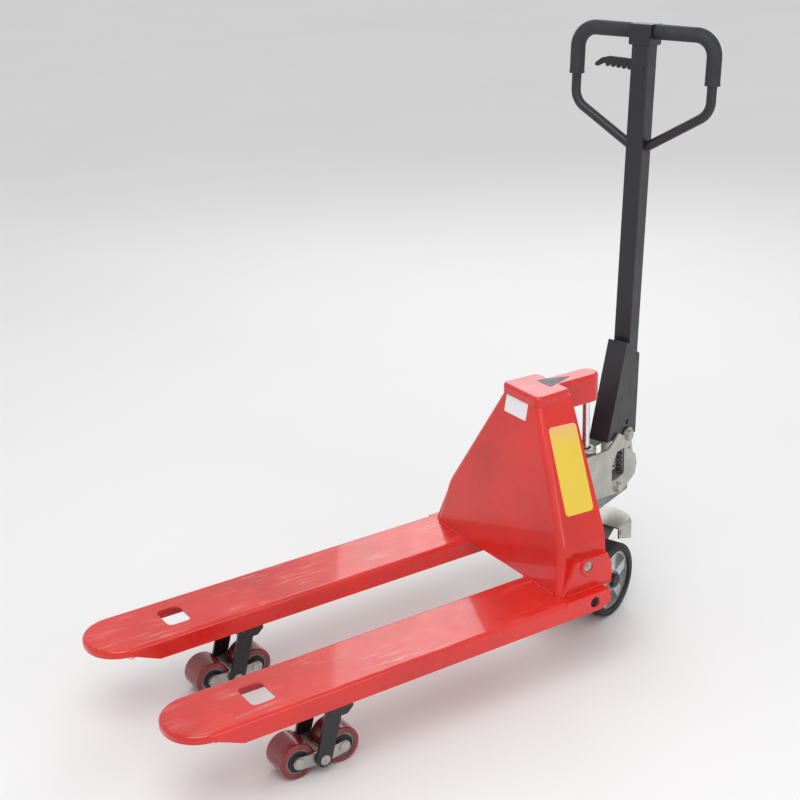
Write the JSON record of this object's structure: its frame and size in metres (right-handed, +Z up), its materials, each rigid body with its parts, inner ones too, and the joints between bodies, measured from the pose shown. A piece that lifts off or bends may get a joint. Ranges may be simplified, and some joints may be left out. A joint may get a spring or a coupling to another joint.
{
  "type": "pallet jack",
  "caption": "Hand pallet truck: a fork for each side of a pallet, sprung steering handle with a pump, tandem load rollers and a release lever.",
  "frame": {"origin": "on the floor, under the middle of the truck's box with the forks raised and the steering turned as it rests", "axes": "+Y from the fork tips to the handle, +X across to the operator's right looking at the forks, +Z up"},
  "size_m": [0.54, 1.4888, 1.3596],
  "materials": {
    "red_paint": "glossy powder coat, rubbed paler where the forks carry loads",
    "black_paint": "satin powder coat",
    "zinc_plate": "zinc plated, dull silver",
    "cast_grey": "grey enamelled casting",
    "chrome": "polished hard chrome",
    "spring_steel": "bright spring steel",
    "red_polyurethane": "glossy cast polyurethane",
    "core_grey": "machined grey iron",
    "hub_aluminium": "die cast",
    "tyre_rubber": "smooth black rubber",
    "grip_rubber": "soft moulded rubber",
    "white_nylon": "natural nylon",
    "black_plastic": "moulded, satin"
  },
  "bodies": {
    "chassis": {"right_fork": "red_paint", "left_fork": "red_paint", "tower_shell": "red_paint", "tower_head": "red_paint", "lift_ram": "chrome", "right_heel": "red_paint", "left_heel": "red_paint", "right_arm_pivot": "black_paint", "left_arm_pivot": "black_paint"},
    "rocker": {"rocker": "red_paint", "rocker_shaft": "zinc_plate"},
    "carriage": {"thrust_carriage": "cast_grey"},
    "pump": {"axle_carrier": "black_paint", "steering_axle": "zinc_plate", "wheel_guard": "zinc_plate", "guard_bracket": "black_paint", "pump_body": "cast_grey", "pump_cylinder": "cast_grey", "ram_gland": "zinc_plate", "right_pump_plate": "zinc_plate", "left_pump_plate": "zinc_plate", "handle_pin": "zinc_plate", "plate_bolt": "zinc_plate", "return_spring": "spring_steel"},
    "plunger": {"pump_plunger": "zinc_plate"},
    "handle": {"handle_bracket": "black_paint", "handle_column": "black_paint", "handle_loop": "black_paint", "right_grip": "grip_rubber", "left_grip": "grip_rubber", "crossbar_collar": "black_paint"},
    "cam_roller": {"cam_roller": "zinc_plate"},
    "release_lever": {"release_lever": "black_plastic"},
    "right_nose_roller": {"right_nose_roller": "white_nylon"},
    "right_push_rod": {"right_push_rod": "zinc_plate"},
    "right_load_arm": {"right_load_arm": "black_paint", "right_bogie_pin": "zinc_plate"},
    "right_bogie": {"right_bogie": "zinc_plate", "right_roller_axles": "zinc_plate"},
    "right_front_roller": {"right_front_load_tread": "red_polyurethane", "right_front_load_core": "core_grey"},
    "right_rear_roller": {"right_rear_load_tread": "red_polyurethane", "right_rear_load_core": "core_grey"},
    "right_wheel": {"right_wheel_tyre": "tyre_rubber", "right_wheel_hub": "hub_aluminium", "right_wheel_cap": "black_plastic"},
    "left_nose_roller": {"left_nose_roller": "white_nylon"},
    "left_push_rod": {"left_push_rod": "zinc_plate"},
    "left_load_arm": {"left_load_arm": "black_paint", "left_bogie_pin": "zinc_plate"},
    "left_bogie": {"left_bogie": "zinc_plate", "left_roller_axles": "zinc_plate"},
    "left_front_roller": {"left_front_load_tread": "red_polyurethane", "left_front_load_core": "core_grey"},
    "left_rear_roller": {"left_rear_load_tread": "red_polyurethane", "left_rear_load_core": "core_grey"},
    "left_wheel": {"left_wheel_tyre": "tyre_rubber", "left_wheel_hub": "hub_aluminium", "left_wheel_cap": "black_plastic"}
  },
  "joints": [
    {"name": "lift", "type": "slide", "parent": "chassis", "child": "carriage", "axis": [0, 0, 1], "range_m": [0, 0.12]},
    {"name": "steer", "type": "hinge", "parent": "carriage", "child": "pump", "pos_m": [0, 0.4426, 0.236], "axis": [0, 0, 1], "range_deg": [-111, 69]},
    {"name": "rocker_turn", "type": "hinge", "parent": "chassis", "child": "rocker", "pos_m": [0, 0.2516, 0.268], "axis": [1, 0, 0], "range_deg": [-0.5, 35.22]},
    {"name": "handle_tilt", "type": "hinge", "parent": "pump", "child": "handle", "pos_m": [-0.05483, 0.58544, 0.398], "axis": [-0.9336, -0.3584, 0], "range_deg": [0, 75], "stiffness_Nm_per_rad": 20, "springref_deg": -28.65},
    {"name": "plunger_stroke", "type": "slide", "parent": "pump", "child": "plunger", "axis": [0, 0, -1], "range_m": [0, 0.024], "deforming": ["return_spring"]},
    {"name": "cam_roller_spin", "type": "hinge", "parent": "handle", "child": "cam_roller", "pos_m": [-0.06324, 0.60735, 0.39018], "axis": [0.9336, 0.3584, 0], "continuous": true},
    {"name": "lever_squeeze", "type": "hinge", "parent": "handle", "child": "release_lever", "pos_m": [-0.0758, 0.66519, 1.26126], "axis": [-0.3573, 0.9308, -0.0767], "range_deg": [-6, 12], "stiffness_Nm_per_rad": 3},
    {"name": "right_nose_roller_spin", "type": "hinge", "parent": "chassis", "child": "right_nose_roller", "pos_m": [0.19, -0.6694, 0.192], "axis": [1, 0, 0], "continuous": true},
    {"name": "right_rod_slide", "type": "slide", "parent": "chassis", "child": "right_push_rod", "axis": [0, 1, 0], "range_m": [-0.001, 0.04653]},
    {"name": "right_arm_swing", "type": "hinge", "parent": "chassis", "child": "right_load_arm", "pos_m": [0.19, -0.3899, 0.156], "axis": [1, 0, 0], "range_deg": [-74.79, 0.5]},
    {"name": "right_bogie_level", "type": "hinge", "parent": "right_load_arm", "child": "right_bogie", "pos_m": [0.19, -0.4229, 0.035], "axis": [1, 0, 0], "range_deg": [-0.5, 74.79]},
    {"name": "right_front_roller_spin", "type": "hinge", "parent": "right_bogie", "child": "right_front_roller", "pos_m": [0.19, -0.4749, 0.04], "axis": [1, 0, 0], "continuous": true},
    {"name": "right_rear_roller_spin", "type": "hinge", "parent": "right_bogie", "child": "right_rear_roller", "pos_m": [0.19, -0.3709, 0.04], "axis": [1, 0, 0], "continuous": true},
    {"name": "right_wheel_spin", "type": "hinge", "parent": "pump", "child": "right_wheel", "pos_m": [0.05695, 0.46446, 0.09], "axis": [0.9336, 0.3584, 0], "continuous": true},
    {"name": "left_nose_roller_spin", "type": "hinge", "parent": "chassis", "child": "left_nose_roller", "pos_m": [-0.19, -0.6694, 0.192], "axis": [1, 0, 0], "continuous": true},
    {"name": "left_rod_slide", "type": "slide", "parent": "chassis", "child": "left_push_rod", "axis": [0, 1, 0], "range_m": [-0.001, 0.04653]},
    {"name": "left_arm_swing", "type": "hinge", "parent": "chassis", "child": "left_load_arm", "pos_m": [-0.19, -0.3899, 0.156], "axis": [1, 0, 0], "range_deg": [-74.79, 0.5]},
    {"name": "left_bogie_level", "type": "hinge", "parent": "left_load_arm", "child": "left_bogie", "pos_m": [-0.19, -0.4229, 0.035], "axis": [1, 0, 0], "range_deg": [-0.5, 74.79]},
    {"name": "left_front_roller_spin", "type": "hinge", "parent": "left_bogie", "child": "left_front_roller", "pos_m": [-0.19, -0.4749, 0.04], "axis": [1, 0, 0], "continuous": true},
    {"name": "left_rear_roller_spin", "type": "hinge", "parent": "left_bogie", "child": "left_rear_roller", "pos_m": [-0.19, -0.3709, 0.04], "axis": [1, 0, 0], "continuous": true},
    {"name": "left_wheel_spin", "type": "hinge", "parent": "pump", "child": "left_wheel", "pos_m": [-0.05695, 0.42074, 0.09], "axis": [0.9336, 0.3584, 0], "continuous": true}
  ],
  "couplings": [
    {"joint": "rocker_turn", "follows": "lift", "rad_per_m": 5.0497},
    {"joint": "right_rod_slide", "follows": "lift", "ratio": 0.37941},
    {"joint": "right_arm_swing", "follows": "lift", "rad_per_m": -10.805},
    {"joint": "right_bogie_level", "follows": "lift", "rad_per_m": 10.805},
    {"joint": "left_rod_slide", "follows": "lift", "ratio": 0.37941},
    {"joint": "left_arm_swing", "follows": "lift", "rad_per_m": -10.805},
    {"joint": "left_bogie_level", "follows": "lift", "rad_per_m": 10.805},
    {"joint": "plunger_stroke", "follows": "handle_tilt", "m_per_rad": 0.018}
  ]
}
